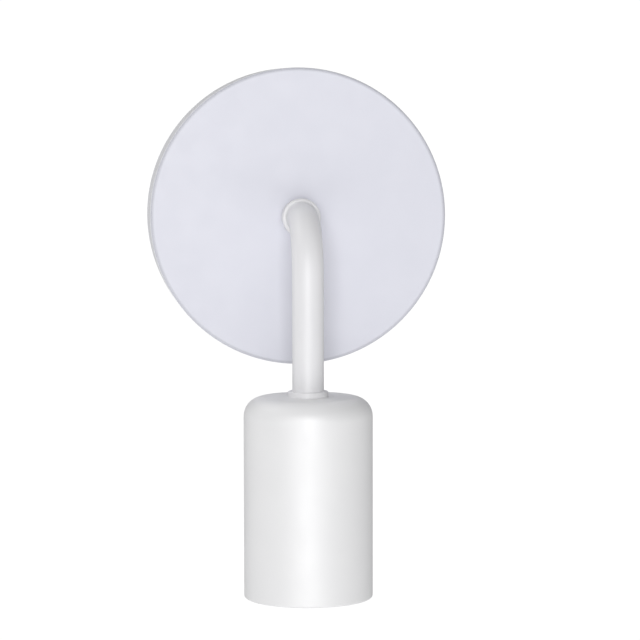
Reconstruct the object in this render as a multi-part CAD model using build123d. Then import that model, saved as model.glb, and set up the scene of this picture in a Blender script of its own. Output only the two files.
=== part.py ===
from build123d import *
import math
import os

# Wall light: a round canopy, a bent tube arm and a cup with an E27 lampholder, open downwards.
# Millimetres. The wall is the plane y = 0, the light stands out towards -Y, and +Z is up.
# The origin is the centre of the canopy's rear plane, on the wall.

# Canopy
canopy_radius = 60.0
canopy_depth = 26.0
sheet = 1.0
canopy_edge_radius = 1.1
canopy_inner_edge_radius = 0.4
set_screw_y = -8.0
set_screw_radius = 2.0
set_screw_length = 8.0

# Mounting strap
strap_width = 20.0
strap_sheet = 1.5
strap_half_length = 57.2
ear_depth = 13.0
wall_slot_z = 43.0
wall_slot_length = 14.0
wall_slot_width = 4.6

# Terminal block on the strap
block_z = -24.0
block_size = (18.4, 12.0, 17.0)
pole_x = 5.2
pole_y = -6.2
insert_size = (4.4, 6.5, 14.0)
clamp_screw_pitch = 8.0

# Earth point on the strap
strap_earth_z = 24.0

# Arm
arm_reach = 36.0
tube_radius = 6.2
tube_bore_radius = 5.0
bend_radius = 21.0
upper_collar_radius = 7.7
lower_collar_radius = 7.9
collar_bore_radius = 6.3
upper_collar_length = 13.0
lower_collar_height = 2.2

# M10x1 hollow nipples and what is on them
nipple_radius = 4.95
nipple_bore_radius = 3.75
nipple_clearance_radius = 5.2
nipple_grip = 14.0
nut_across_flats = 14.0
nut_height = 3.0
nut_bore_radius = 5.0
toothed_washer_radius = 8.0
toothed_washer_height = 0.8
flat_washer_radius = 9.5
flat_washer_height = 1.0
nipple_spare = 2.0
bush_bore_radius = 3.1
bush_flange_radius = 4.9

# Cup
cup_radius = 25.4
cup_height = 79.5
cup_wall = 1.2
cup_top_z = -69.2
shoulder_radius = 7.6
cup_rim_radius = 0.9

# Lampholder
bracket_sheet = 1.2
bracket_half_span = 13.5
bracket_half_width = 9.0
bracket_foot_x = 18.0
ceramic_drop = 25.5
ceramic_radius = 21.5
ceramic_height = 40.0
socket_radius = 13.9
socket_base = 9.0
mouth_radius = 14.5
mouth_depth = 5.3
mouth_chamfer = 0.8
shell_major_radius = 13.3
shell_minor_radius = 12.3
shell_sheet = 0.3
thread_pitch = 3.629
thread_turns = 6
guide_radius = 4.2
guide_bore_radius = 3.4
guide_lip_radius = 2.65
plunger_radius = 2.5
plunger_flange_radius = 3.2
terminal_reach = 14.2
rivet_radius = 1.2
rivet_circle = 9.2
holder_earth_rise = 11.0
holder_earth_y = -5.2

# Leads
lead_radius = 0.95
lead_pair_offset = 1.7
lead_earth_offset = 1.9
lead_turn_rise = 13.5
lead_spread_rise = 8.0
tag_barrel_radius = 1.65
tag_sheet = 0.8

# Worked out from the sizes above
face_y = -canopy_depth
inner_face_y = face_y + sheet
axis_y = face_y - arm_reach
tube_straight = arm_reach - bend_radius
bend_start_y = face_y - tube_straight
cup_bottom_z = cup_top_z - cup_height
cup_ceiling_z = cup_top_z - cup_wall
ceramic_top_z = cup_top_z - ceramic_drop
ceramic_mouth_z = ceramic_top_z - ceramic_height
socket_floor_z = ceramic_top_z - socket_base
holder_earth_z = ceramic_top_z + holder_earth_rise
lead_turn_z = ceramic_top_z + lead_turn_rise
lead_spread_z = ceramic_top_z + lead_spread_rise
slip = 0.05


def at(x, y, z):
    """A point given from the cup's axis in x and y, and from the origin in z."""
    return Vector(x, axis_y + y, z)


def rod(radius, start, end):
    """A solid cylinder from one point to another."""
    start, end = Vector(*start), Vector(*end)
    run = end - start
    return Solid.make_cylinder(radius, run.length, Plane(origin=start, z_dir=run.normalized()))


def ring(outer, inner, start, end):
    """A tube from one point to another."""
    return rod(outer, start, end) - rod(inner, start, end)


def block(low, high):
    """A box between two corners."""
    size = [b - a for a, b in zip(low, high)]
    middle = [(a + b) / 2 for a, b in zip(low, high)]
    return Pos(*middle) * Box(*size)


def edges_at(shape, axis, value, tolerance=0.01):
    """The edges that lie whole at one place along an axis."""
    return shape.edges().filter_by_position(axis, value - tolerance, value + tolerance)


def save(name, shape):
    """Writes one node's solids to its own STEP file."""
    solids = shape.solids()
    body = solids[0] if len(solids) == 1 else Compound(children=list(solids))
    export_step(body, os.path.join("parts", name + ".step"))


def hex_nut(across_flats, bore, start, end):
    """A hexagon nut along one axis, its corners chamfered."""
    start, end = Vector(*start), Vector(*end)
    run = end - start
    plane = Plane(origin=start, z_dir=run.normalized())
    prism = extrude(plane * RegularPolygon(across_flats / 2, 6, major_radius=False), run.length)
    blank = rod(across_flats / 2 / math.cos(math.pi / 6) - 0.25, start, end)
    blank = chamfer(blank.edges(), 0.3)
    return (prism & blank) - rod(bore, start, end)


def toothed_washer(outer, inner, start, end, teeth=12):
    """A shakeproof washer: a ring with slots cut in from its rim."""
    start, end = Vector(*start), Vector(*end)
    plane = Plane(origin=start, z_dir=(end - start).normalized())
    washer = ring(outer, inner, start, end)
    notch_depth = (outer - inner) * 0.55
    height = (end - start).length
    for place in PolarLocations(outer, teeth):
        washer -= plane * place * Box(2 * notch_depth, outer * 0.22, 4 * height)
    return washer


def pan_screw(head_radius, head_height, shank_radius, seat, tip, slot=0.8):
    """A slotted pan head screw: the head stands on its seat, and the shank ends at the tip."""
    seat, tip = Vector(*seat), Vector(*tip)
    out = (seat - tip).normalized()
    crown = seat + out * head_height
    head = rod(head_radius, seat, crown)
    head = fillet(head.edges().sort_by(Axis(seat, out))[-1:], head_height * 0.35)
    shank = rod(shank_radius, tip, seat)
    shank = chamfer(shank.edges().sort_by(Axis(tip, out))[:1], shank_radius * 0.25)
    plane = Plane(origin=crown, z_dir=out)
    driver_slot = plane * Box(2.2 * head_radius, slot, head_height)
    return head + shank - driver_slot


def hollow_nipple(start, end):
    """A hollow threaded stud with chamfered ends."""
    stud = rod(nipple_radius, start, end)
    stud = chamfer(stud.edges(), 0.4)
    return stud - rod(nipple_bore_radius, start, end)


def bush(mouth, inward):
    """A flanged plastic bush in the end of a nipple. Inward points into the nipple."""
    mouth, inward = Vector(*mouth), Vector(*inward)
    flange = ring(bush_flange_radius, bush_bore_radius, mouth - inward, mouth)
    sleeve = ring(nipple_bore_radius - slip, bush_bore_radius, mouth, mouth + inward * 5)
    flange = fillet(flange.edges().sort_by(Axis(mouth, inward))[:2], 0.3)
    return flange + sleeve


# ---------------------------------------------------------------- canopy

def canopy_shell():
    """A drawn dish, open at the wall, with a hole for the arm and two for the set screws."""
    outside = rod(canopy_radius, (0, 0, 0), (0, face_y, 0))
    outside = fillet(edges_at(outside, Axis.Y, face_y), canopy_edge_radius)
    inside = rod(canopy_radius - sheet, (0, 0, 0), (0, inner_face_y, 0))
    inside = fillet(edges_at(inside, Axis.Y, inner_face_y), canopy_inner_edge_radius)
    shell = outside - inside
    shell -= rod(nipple_clearance_radius, (0, 0, 0), (0, face_y, 0))
    reach = canopy_radius + 1
    return shell - rod(set_screw_radius + 0.2, (0, set_screw_y, -reach), (0, set_screw_y, reach))


def mounting_strap():
    """A steel strip flat on the wall, with its ends bent out as ears for the set screws."""
    half = strap_width / 2
    ear_inner = strap_half_length - strap_sheet
    blank = block((-half, -ear_depth, -strap_half_length), (half, 0, strap_half_length))
    blank = fillet(blank.edges().filter_by(Axis.X).filter_by_position(Axis.Y, -0.01, 0.01), 2.0)
    well = block((-half - 1, -ear_depth - 1, -ear_inner), (half + 1, -strap_sheet, ear_inner))
    well_floor = well.edges().filter_by(Axis.X).filter_by_position(Axis.Y, -strap_sheet - 0.01, 0)
    strap = blank - fillet(well_floor, 0.6)
    for side in (-1, 1):
        slot_face = Plane.XZ * Pos(0, side * wall_slot_z) * Rot(0, 0, 90) \
            * SlotOverall(wall_slot_length, wall_slot_width)
        strap -= extrude(slot_face, 3, both=True)
    ear_reach = strap_half_length + 1
    strap -= rod(set_screw_radius + slip, (0, set_screw_y, -ear_reach), (0, set_screw_y, ear_reach))
    strap -= rod(2.0 + slip, (0, -3, strap_earth_z), (0, 1, strap_earth_z))
    return strap - rod(1.25 + slip, (0, -3, block_z), (0, 1, block_z))


def canopy_set_screws():
    """Two hexagon socket set screws, flush with the rim."""
    screws = []
    outer = canopy_radius - 0.4
    for side in (-1, 1):
        head = Vector(0, set_screw_y, side * outer)
        tip = Vector(0, set_screw_y, side * (outer - set_screw_length))
        screw = chamfer(rod(set_screw_radius, tip, head).edges(), 0.35)
        socket = Plane(origin=head, z_dir=(head - tip).normalized())
        screw -= extrude(socket * RegularPolygon(1.0, 6, major_radius=False), -2.5)
        screws.append(screw)
    return Compound(children=screws)


def block_faces():
    """The low and high corners of the terminal block."""
    width, height, length = block_size
    low = (-width / 2, -strap_sheet - height, block_z - length / 2)
    return low, (width / 2, -strap_sheet, block_z + length / 2)


def pole_positions():
    """The x of the two poles, live first."""
    return (pole_x, -pole_x)


def clamp_screw_positions():
    """The x and z of each clamp screw."""
    return [(x, block_z + s * clamp_screw_pitch / 2) for x in pole_positions() for s in (-1, 1)]


def insert_corners(x, grow=0.0):
    """The corners of one brass insert, or of the pocket that holds it."""
    width, height, length = insert_size
    rear = pole_y + 2.2
    low = (x - width / 2 - grow, rear - height - grow, block_z - length / 2 - grow)
    return low, (x + width / 2 + grow, rear + grow, block_z + length / 2 + grow)


def terminal_block():
    """The insulating body: two pockets, their wire entries and screw wells, and the fixing hole."""
    low, high = block_faces()
    body = block(low, high)
    body = fillet(body.edges().filter_by(Axis.Y), 0.8)
    for x in pole_positions():
        body -= block(*insert_corners(x, slip))
        body -= rod(1.6, (x, pole_y, low[2] - 1), (x, pole_y, high[2] + 1))
    for x, z in clamp_screw_positions():
        body -= rod(1.9, (x, low[1] - 1, z), (x, pole_y, z))
    body -= rod(1.4, (0, low[1] - 1, block_z), (0, 0, block_z))
    return body - rod(2.5, (0, low[1] - 1, block_z), (0, -9, block_z))


def terminal_inserts():
    """The two brass inserts, each with a wire bore and two screw holes."""
    inserts = []
    for x in pole_positions():
        low, high = insert_corners(x)
        insert = block(low, high) - rod(1.35, (x, pole_y, low[2] - 1), (x, pole_y, high[2] + 1))
        for screw_x, z in clamp_screw_positions():
            if screw_x == x:
                insert -= rod(1.3, (x, low[1] - 1, z), (x, pole_y, z))
        inserts.append(insert)
    return Compound(children=inserts)


def terminal_screws():
    """Four clamp screws, down on the leads."""
    crown_y = insert_corners(pole_x)[0][1] - 1.6
    tip_y = pole_y - lead_radius - slip
    screws = []
    for x, z in clamp_screw_positions():
        seat = crown_y + 1.5
        screws.append(pan_screw(1.7, 1.5, 1.25, (x, seat, z), (x, tip_y, z), slot=0.6))
    return Compound(children=screws)


def block_fixing_screw():
    """The screw through the middle of the block into the strap."""
    return pan_screw(2.3, 1.6, 1.25, (0, -9, block_z), (0, -0.2, block_z), slot=0.7)


def strap_earth_washer():
    """The shakeproof washer under the earth tag."""
    start = (0, -strap_sheet, strap_earth_z)
    return toothed_washer(4.0, 2.15, start, (0, -strap_sheet - 0.6, strap_earth_z), teeth=8)


def strap_earth_tag():
    """A ring tag with its barrel towards the arm's nipple."""
    rear = -strap_sheet - 0.6
    front = rear - tag_sheet
    barrel_y = rear - tag_barrel_radius
    eye = rod(4.0, (0, rear, strap_earth_z), (0, front, strap_earth_z))
    tail = block((-1.6, front, strap_earth_z - 8), (1.6, rear, strap_earth_z))
    barrel = rod(tag_barrel_radius, (0, barrel_y, strap_earth_z - 12.5), (0, barrel_y, strap_earth_z - 6.5))
    tag = eye + tail + barrel
    tag -= rod(2.15, (0, rear + 1, strap_earth_z), (0, front - 1, strap_earth_z))
    return tag - rod(lead_radius + slip, (0, barrel_y, strap_earth_z - 13), (0, barrel_y, strap_earth_z - 6))


def strap_earth_screw():
    """The earth screw in the strap."""
    seat = -strap_sheet - 0.6 - tag_sheet
    return pan_screw(4.0, 2.6, 2.0, (0, seat, strap_earth_z), (0, -0.1, strap_earth_z), slot=1.0)


# ---------------------------------------------------------------- arm

def stack(first, direction, heights):
    """The place where each item of a stack starts, and where the last one ends."""
    places = [first]
    for height in heights:
        places.append(places[-1] + direction * height)
    return places


upper_stack = stack(inner_face_y, 1, (flat_washer_height, toothed_washer_height, nut_height, nipple_spare))
lower_stack = stack(cup_ceiling_z, -1, (bracket_sheet, toothed_washer_height, nut_height, nipple_spare))


def on_arm(y):
    """A point on the canopy's own axis."""
    return (0, y, 0)


def on_cup(z):
    """A point on the cup's axis."""
    return at(0, 0, z)


def upper_nipple():
    """The stud that joins the arm to the canopy."""
    return hollow_nipple(on_arm(upper_stack[4]), on_arm(face_y - nipple_grip))


def upper_flat_washer():
    """The flat washer inside the canopy."""
    return ring(flat_washer_radius, nipple_clearance_radius, on_arm(upper_stack[0]), on_arm(upper_stack[1]))


def upper_toothed_washer():
    """The shakeproof washer under the canopy's nut."""
    ends = on_arm(upper_stack[1]), on_arm(upper_stack[2])
    return toothed_washer(toothed_washer_radius, nipple_clearance_radius, *ends)


def upper_lock_nut():
    """The nut inside the canopy."""
    return hex_nut(nut_across_flats, nut_bore_radius, on_arm(upper_stack[2]), on_arm(upper_stack[3]))


def upper_bush():
    """The bush that keeps the leads off the upper stud's edge."""
    return bush(on_arm(upper_stack[4]), (0, -1, 0))


def upper_collar():
    """The ring round the tube where it meets the canopy."""
    front = face_y - upper_collar_length
    collar = rod(upper_collar_radius, on_arm(face_y), on_arm(front))
    collar = fillet(edges_at(collar, Axis.Y, front), 0.9)
    collar = chamfer(edges_at(collar, Axis.Y, face_y), 0.2)
    collar -= rod(collar_bore_radius, on_arm(face_y + 1), on_arm(front - 1))
    return chamfer(edges_at(collar, Axis.Y, front).sort_by(SortBy.RADIUS)[:1], 0.4)


def arm_path():
    """The tube's centre line: out from the canopy, round the bend and down to the cup."""
    corner = Vector(0, axis_y, 0)
    return FilletPolyline(Vector(0, face_y, 0), corner, Vector(0, axis_y, cup_top_z), radius=[bend_radius])


def arm_tube():
    """The bent tube, swept along its centre line."""
    start = Plane(origin=(0, face_y, 0), z_dir=(0, -1, 0))
    section = start * (Circle(tube_radius) - Circle(tube_bore_radius))
    return sweep(section, path=arm_path())


def lower_collar():
    """The thin ring round the tube on top of the cup."""
    top = cup_top_z + lower_collar_height
    collar = rod(lower_collar_radius, on_cup(cup_top_z), on_cup(top))
    collar = fillet(edges_at(collar, Axis.Z, top), 0.5)
    return collar - rod(collar_bore_radius, on_cup(cup_top_z - 1), on_cup(top + 1))


def lower_nipple():
    """The stud that joins the cup to the arm."""
    return hollow_nipple(on_cup(lower_stack[4]), on_cup(cup_top_z + nipple_grip))


def lower_toothed_washer():
    """The shakeproof washer under the cup's nut."""
    ends = on_cup(lower_stack[1]), on_cup(lower_stack[2])
    return toothed_washer(toothed_washer_radius, nipple_clearance_radius, *ends)


def lower_lock_nut():
    """The nut inside the cup."""
    return hex_nut(nut_across_flats, nut_bore_radius, on_cup(lower_stack[2]), on_cup(lower_stack[3]))


def lower_bush():
    """The bush that keeps the leads off the lower stud's edge."""
    return bush(on_cup(lower_stack[4]), (0, 0, 1))


# ---------------------------------------------------------------- cup and lampholder

def cup_shell():
    """A drawn cup, open downwards, with a round shoulder and a rounded rim."""
    outside = rod(cup_radius, on_cup(cup_bottom_z), on_cup(cup_top_z))
    outside = fillet(edges_at(outside, Axis.Z, cup_top_z), shoulder_radius)
    outside = fillet(edges_at(outside, Axis.Z, cup_bottom_z), cup_rim_radius)
    inside = rod(cup_radius - cup_wall, on_cup(cup_bottom_z), on_cup(cup_ceiling_z))
    inside = fillet(edges_at(inside, Axis.Z, cup_ceiling_z), shoulder_radius - cup_wall)
    shell = outside - inside
    return shell - rod(nipple_clearance_radius, on_cup(cup_ceiling_z - 1), on_cup(cup_top_z + 1))


def holder_bracket():
    """A saddle: a top plate on the nipple, two legs, and feet that the ceramic body hangs from."""
    span, width, thick = bracket_half_span, bracket_half_width, bracket_sheet
    foot_top = ceramic_top_z + thick
    foot_end = bracket_foot_x + 3.2
    saddle = block(at(-span, -width, ceramic_top_z), at(span, width, cup_ceiling_z))
    saddle = fillet(saddle.edges().filter_by(Axis.Y).filter_by_position(Axis.Z, cup_ceiling_z - 0.01, 0), 1.6)
    leg_inner = span - thick
    tunnel_top = cup_ceiling_z - thick
    tunnel = block(at(-leg_inner, -width - 1, ceramic_top_z - 1), at(leg_inner, width + 1, tunnel_top))
    tunnel = fillet(tunnel.edges().filter_by(Axis.Y).filter_by_position(Axis.Z, tunnel_top - 0.01, 0), 0.5)
    bracket = saddle - tunnel
    for side in (-1, 1):
        near, far = sorted((side * leg_inner, side * foot_end))
        foot = block(at(near, -4.5, ceramic_top_z), at(far, 4.5, foot_top))
        bracket += foot
        hole = at(side * bracket_foot_x, 0, 0)
        bracket -= rod(1.5 + slip, (hole.X, hole.Y, ceramic_top_z - 1), (hole.X, hole.Y, foot_top + 1))
    bracket -= rod(nut_bore_radius, on_cup(tunnel_top - 1), on_cup(cup_ceiling_z + 1))
    earth = holder_earth_y, holder_earth_z
    return bracket - rod(1.5 + slip, at(-span - 1, *earth), at(-9, *earth))


def bracket_screws():
    """Two screws, up through the ceramic body into the feet."""
    screws = []
    for side in (-1, 1):
        seat = at(side * bracket_foot_x, 0, socket_floor_z)
        tip = at(side * bracket_foot_x, 0, ceramic_top_z + bracket_sheet + 1.5)
        screws.append(pan_screw(2.6, 2.0, 1.5, seat, tip, slot=0.8))
    return Compound(children=screws)


def shell_rivet_positions():
    """The x and y of the three rivets from the cup's axis, the neutral terminal's one first."""
    angles = [math.radians(a) for a in (90, 210, 330)]
    return [(rivet_circle * math.cos(a), rivet_circle * math.sin(a)) for a in angles]


def ceramic_body():
    """The porcelain body: socket, contact bore, rivet holes and screw channels."""
    body = rod(ceramic_radius, on_cup(ceramic_mouth_z), on_cup(ceramic_top_z))
    body = fillet(edges_at(body, Axis.Z, ceramic_mouth_z), 1.5)
    body = fillet(edges_at(body, Axis.Z, ceramic_top_z), 1.0)
    body -= rod(socket_radius, on_cup(ceramic_mouth_z - 1), on_cup(socket_floor_z))
    body -= rod(mouth_radius, on_cup(ceramic_mouth_z - 1), on_cup(ceramic_mouth_z + mouth_depth))
    body = chamfer(edges_at(body, Axis.Z, ceramic_mouth_z).sort_by(SortBy.RADIUS)[:1], mouth_chamfer)
    body -= rod(guide_radius + slip, on_cup(socket_floor_z - 1), on_cup(ceramic_top_z - 2))
    body -= rod(rivet_radius + slip, on_cup(socket_floor_z), on_cup(ceramic_top_z + 1))
    for x, y in shell_rivet_positions():
        body -= rod(rivet_radius + slip, at(x, y, socket_floor_z - 1), at(x, y, ceramic_top_z + 1))
    for side in (-1, 1):
        x = side * bracket_foot_x
        body -= rod(1.7, at(x, 0, socket_floor_z - 1), at(x, 0, ceramic_top_z + 1))
        body -= rod(2.8, at(x, 0, ceramic_mouth_z - 1), at(x, 0, socket_floor_z))
    return body


def wave(offset, top_z):
    """The thread's side as alternate arcs, from the top down, at an offset from the inner radius."""
    middle = (shell_major_radius + shell_minor_radius) / 2 + offset
    half = thread_pitch / 2
    swing = (shell_major_radius - shell_minor_radius) / 2
    arcs = []
    for step in range(2 * thread_turns):
        z = top_z - step * half
        bulge = middle + (swing if step % 2 else -swing)
        arcs.append(ThreePointArc((middle, z), (bulge, z - half / 2), (middle, z - half)))
    return arcs


def screw_shell():
    """The E27 thread shell: a base with a hole, and a side rolled into rings of the thread's shape."""
    base_z = socket_floor_z
    thread_top = base_z - 1.6
    middle = (shell_major_radius + shell_minor_radius) / 2
    thread_bottom = thread_top - thread_turns * thread_pitch
    lip_z = thread_bottom - 1.4
    inner, outer = middle, middle + shell_sheet
    hole = 6.2
    profile = wave(0, thread_top) + wave(shell_sheet, thread_top)
    profile.append(Polyline((inner, thread_top), (inner, base_z - shell_sheet), (hole, base_z - shell_sheet),
                            (hole, base_z), (outer, base_z), (outer, thread_top)))
    profile.append(Polyline((inner, thread_bottom), (inner, lip_z), (outer, lip_z), (outer, thread_bottom)))
    face = Plane.XZ * make_face(Curve() + profile)
    shell = Pos(0, axis_y, 0) * revolve(face, Axis.Z)
    for x, y in shell_rivet_positions():
        shell -= rod(rivet_radius + slip, at(x, y, base_z - 1), at(x, y, base_z + 1))
    return shell


def tubular_rivet(x, y, top_z, low_z):
    """A rivet with a head at each end: under low_z and over top_z."""
    shank = rod(rivet_radius, at(x, y, low_z), at(x, y, top_z))
    top_head = rod(2.0, at(x, y, top_z), at(x, y, top_z + 0.7))
    low_head = rod(2.0, at(x, y, low_z - 0.7), at(x, y, low_z))
    top_head = fillet(edges_at(top_head, Axis.Z, top_z + 0.7), 0.5)
    low_head = fillet(edges_at(low_head, Axis.Z, low_z - 0.7), 0.5)
    return shank + top_head + low_head


def shell_rivets():
    """Three rivets that hold the screw shell. The first also holds the neutral terminal."""
    rivets = []
    for number, (x, y) in enumerate(shell_rivet_positions()):
        top = ceramic_top_z + (tag_sheet if number == 0 else 0)
        rivets.append(tubular_rivet(x, y, top, socket_floor_z - shell_sheet))
    return Compound(children=rivets)


guide_top_z = ceramic_top_z - 2
guide_lip_z = socket_floor_z - 0.6


def contact_guide():
    """A brass thimble in the ceramic body. Its lip keeps the sprung contact in."""
    guide = rod(guide_radius, on_cup(guide_lip_z), on_cup(guide_top_z))
    guide -= rod(guide_bore_radius, on_cup(guide_lip_z + 0.6), on_cup(guide_top_z - 0.6))
    guide -= rod(guide_lip_radius, on_cup(guide_lip_z - 1), on_cup(guide_lip_z + 1))
    return guide - rod(rivet_radius + slip, on_cup(guide_top_z - 1), on_cup(guide_top_z + 1))


plunger_seat_z = guide_lip_z + 0.6 + 0.1


def centre_contact():
    """The sprung contact: a domed stem with a flange that rests over the guide's lip."""
    flange_top = plunger_seat_z + 0.9
    stem = rod(plunger_radius, on_cup(guide_lip_z - 3.6), on_cup(flange_top))
    stem = fillet(edges_at(stem, Axis.Z, guide_lip_z - 3.6), 1.6)
    flange = rod(plunger_flange_radius, on_cup(plunger_seat_z), on_cup(flange_top))
    return stem + flange


def contact_spring():
    """A compression spring between the contact's flange and the guide's top."""
    wire = 0.225
    low = plunger_seat_z + 0.9 + wire + 0.02
    high = guide_top_z - 0.6 - 0.7 - wire - 0.02
    turns = 3.5
    height = high - low
    path = Pos(0, axis_y, low) * Helix(height / turns, height, 2.35)
    section = Plane(origin=path @ 0, z_dir=path % 0) * Circle(wire)
    return sweep(section, path=path, is_frenet=True)


def contact_rivet():
    """The rivet from the guide to the live terminal, over the cup's axis."""
    return tubular_rivet(0, 0, ceramic_top_z + tag_sheet, guide_top_z - 0.6)


def pillar_terminal(side, inner_end):
    """A terminal: a plate on the ceramic body with a pillar that takes the lead from above."""
    near, far = sorted((side * inner_end, side * (terminal_reach + 3)))
    plate = block(at(-2.5, near, ceramic_top_z), at(2.5, far, ceramic_top_z + tag_sheet))
    plate = fillet(plate.edges().filter_by(Axis.Z), 0.8)
    low, high = sorted((side * (terminal_reach - 2.6), side * (terminal_reach + 2.8)))
    pillar_top = ceramic_top_z + 5.5
    pillar = block(at(-2.5, low, ceramic_top_z + tag_sheet), at(2.5, high, pillar_top))
    terminal = plate + pillar
    lead_y = side * terminal_reach
    terminal -= rod(lead_radius + slip, at(0, lead_y, ceramic_top_z + 1.5), at(0, lead_y, pillar_top + 1))
    screw_z = ceramic_top_z + 3.2
    return terminal - rod(1.25 + slip, at(0, lead_y, screw_z), at(0, side * (terminal_reach + 4), screw_z))


def live_terminal():
    """The live terminal, from the middle of the body to the front."""
    terminal = pillar_terminal(-1, -2.4)
    return terminal - rod(rivet_radius + slip, on_cup(ceramic_top_z - 1), on_cup(ceramic_top_z + 2))


def neutral_terminal():
    """The neutral terminal, at the rear, on the first shell rivet."""
    x, y = shell_rivet_positions()[0]
    terminal = pillar_terminal(1, rivet_circle - 2.4)
    return terminal - rod(rivet_radius + slip, at(x, y, ceramic_top_z - 1), at(x, y, ceramic_top_z + 2))


def holder_terminal_screws():
    """The clamp screw of each pillar, from outside."""
    screws = []
    for side in (-1, 1):
        seat_y = side * (terminal_reach + 2.9)
        tip_y = side * (terminal_reach + lead_radius + slip)
        z = ceramic_top_z + 3.2
        screws.append(pan_screw(2.0, 1.3, 1.25, at(0, seat_y, z), at(0, tip_y, z), slot=0.6))
    return Compound(children=screws)


def holder_earth_tag():
    """A tag on the inside of one leg, its barrel turned in to meet the earth lead."""
    outer_x = bracket_sheet - bracket_half_span
    inner_x = outer_x + tag_sheet
    y, z = holder_earth_y, holder_earth_z
    eye = rod(3.0, at(outer_x, y, z), at(inner_x, y, z))
    tail = block(at(outer_x, y, z - 1.65), at(inner_x, tag_barrel_radius, z + 1.65))
    barrel = rod(tag_barrel_radius, at(outer_x, 0, z), at(inner_x + 3.0, 0, z))
    tag = eye + tail + barrel
    tag -= rod(1.6, at(outer_x - 1, y, z), at(inner_x + 1, y, z))
    return tag - rod(lead_radius + slip, at(inner_x, 0, z), at(inner_x + 4, 0, z))


def holder_earth_screw():
    """The earth screw through the tag into the leg."""
    y, z = holder_earth_y, holder_earth_z
    seat_x = bracket_sheet - bracket_half_span + tag_sheet
    return pan_screw(2.6, 1.9, 1.5, at(seat_x, y, z), at(-bracket_half_span - 1.0, y, z), slot=0.8)


# ---------------------------------------------------------------- leads

def lead(points, radii):
    """A lead as straight runs joined by tangent arcs."""
    path = FilletPolyline(*[Vector(*p) for p in points], radius=radii)
    section = Plane(origin=path @ 0, z_dir=path % 0) * Circle(lead_radius)
    solid = sweep(section, path=path)
    expected = math.pi * lead_radius ** 2 * path.length
    print("lead length %.1f, volume / (section x length) %.4f" % (path.length, solid.volume / expected))
    return solid


def lower_points(offset, reach):
    """The route below the bend: down the arm, out to one side and down into a pillar."""
    lead_end_z = ceramic_top_z + 1.7
    return [at(0, -offset, lead_turn_z), at(0, reach, lead_spread_z), at(0, reach, lead_end_z)]


def live_lead():
    """Block, nipple, outer side of the bend, and down to the front terminal."""
    v = lead_pair_offset
    points = [(pole_x, pole_y, block_z - 6), (pole_x, pole_y, -8), (0, -8.5, v), (0, axis_y - v, v)]
    return lead(points + lower_points(v, -terminal_reach), [12, 4.8, bend_radius + v, 4.2, 4.2])


def neutral_lead():
    """Block, nipple, inner side of the bend, and down to the rear terminal."""
    v = -lead_pair_offset
    points = [(-pole_x, pole_y, block_z - 6), (-pole_x, pole_y, -10), (0, -11.0, v), (0, axis_y - v, v)]
    return lead(points + lower_points(v, terminal_reach), [12, 4.8, bend_radius + v, 4.2, 4.2])


def earth_lead():
    """Strap tag, nipple, side of the bend, and across to the tag on the bracket."""
    x = -lead_earth_offset
    barrel_y = -strap_sheet - 0.6 - tag_barrel_radius
    tag_x = bracket_sheet - bracket_half_span + tag_sheet
    points = [(0, barrel_y, strap_earth_z - 6.8), (0, barrel_y, 9.0), (x, barrel_y, 0), (x, axis_y, 0),
              at(x, 0, holder_earth_z), at(tag_x + 0.1, 0, holder_earth_z)]
    return lead(points, [10, 6.5, bend_radius, 5.5])


NODES = (canopy_shell, mounting_strap, canopy_set_screws, terminal_block, terminal_inserts, terminal_screws,
         block_fixing_screw, strap_earth_washer, strap_earth_tag, strap_earth_screw, upper_nipple,
         upper_flat_washer, upper_toothed_washer, upper_lock_nut, upper_bush, upper_collar, arm_tube,
         lower_collar, lower_nipple, lower_toothed_washer, lower_lock_nut, lower_bush, cup_shell,
         holder_bracket, bracket_screws, ceramic_body, screw_shell, shell_rivets, contact_guide,
         centre_contact, contact_spring, contact_rivet, live_terminal, neutral_terminal,
         holder_terminal_screws, holder_earth_tag, holder_earth_screw, live_lead, neutral_lead, earth_lead)

os.makedirs("parts", exist_ok=True)
for make in NODES:
    save(make.__name__, make())
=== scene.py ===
"""A wall light with a round canopy, a bent arm and a lampholder cup, dressed in a studio."""

import logging
import math
from contextlib import contextmanager
from dataclasses import dataclass
from enum import Enum
from typing import Iterator, NamedTuple, Sequence

import bmesh
import bpy
from mathutils import Matrix, Vector


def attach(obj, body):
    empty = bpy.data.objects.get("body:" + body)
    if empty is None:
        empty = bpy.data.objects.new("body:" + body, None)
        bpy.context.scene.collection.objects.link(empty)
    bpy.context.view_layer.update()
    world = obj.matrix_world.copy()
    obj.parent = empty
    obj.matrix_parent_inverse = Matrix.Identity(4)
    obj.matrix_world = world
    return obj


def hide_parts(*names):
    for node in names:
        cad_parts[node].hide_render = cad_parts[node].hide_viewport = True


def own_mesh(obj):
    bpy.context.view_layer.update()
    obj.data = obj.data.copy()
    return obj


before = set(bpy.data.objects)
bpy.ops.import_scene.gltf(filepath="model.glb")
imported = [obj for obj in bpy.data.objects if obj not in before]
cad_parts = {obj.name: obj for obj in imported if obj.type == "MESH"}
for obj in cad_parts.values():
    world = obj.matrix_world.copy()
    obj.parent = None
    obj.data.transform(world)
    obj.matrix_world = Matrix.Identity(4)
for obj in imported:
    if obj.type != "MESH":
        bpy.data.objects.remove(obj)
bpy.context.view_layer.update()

log = logging.getLogger("wall_light")

MM = 0.001
LIGHT_BODY = "light"
CONTACT_BODY = "contact"
CUP_AXIS_Y = -62.0  # in millimetres

Colour = tuple[float, float, float]
Point = tuple[float, float, float]


# ---------------------------------------------------------------- the bench


class Corner(NamedTuple):
    """A corner of a turned piece's outline, in millimetres."""

    radius: float
    height: float
    round: float = 0.0


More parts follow.
